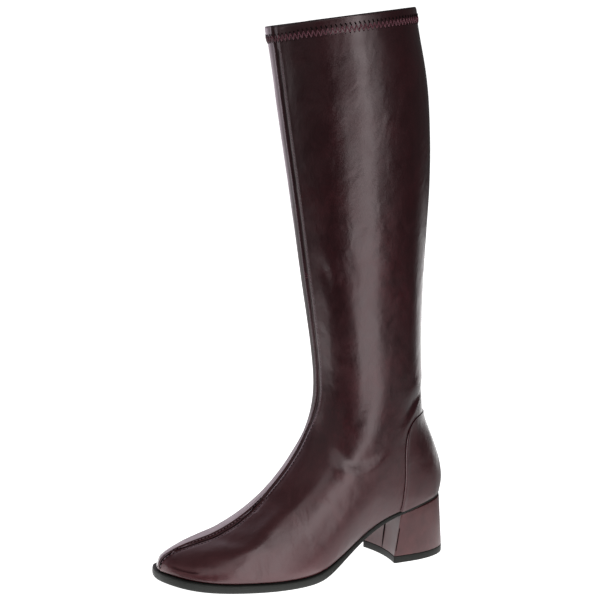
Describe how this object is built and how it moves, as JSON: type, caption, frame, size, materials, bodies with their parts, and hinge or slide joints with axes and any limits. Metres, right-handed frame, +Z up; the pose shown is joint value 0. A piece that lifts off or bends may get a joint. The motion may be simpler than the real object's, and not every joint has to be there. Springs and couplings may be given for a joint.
{
  "type": "sock boot",
  "caption": "Knee-high pull-on sock boot for the left foot, with a hollow stretch-leather upper, block heel, rubber outsole, insole and heel counter.",
  "frame": {"origin": "on the floor, under the middle of the boot's box", "axes": "+Z up the leg, -Y towards the toe, +X towards the outer side of the left foot"},
  "size_m": [0.097, 0.2478, 0.4338],
  "materials": {
    "burgundy_leather": "polished, soft sheen",
    "heel_leather": "polished, soft sheen",
    "sole_rubber": "satin black",
    "lift_rubber": "satin black",
    "insole_fabric": "matte"
  },
  "bodies": {
    "root": {"upper": "burgundy_leather", "heel_counter": "burgundy_leather", "outsole": "sole_rubber", "heel_block": "heel_leather", "heel_lift": "lift_rubber", "insole": "insole_fabric"}
  },
  "joints": []
}
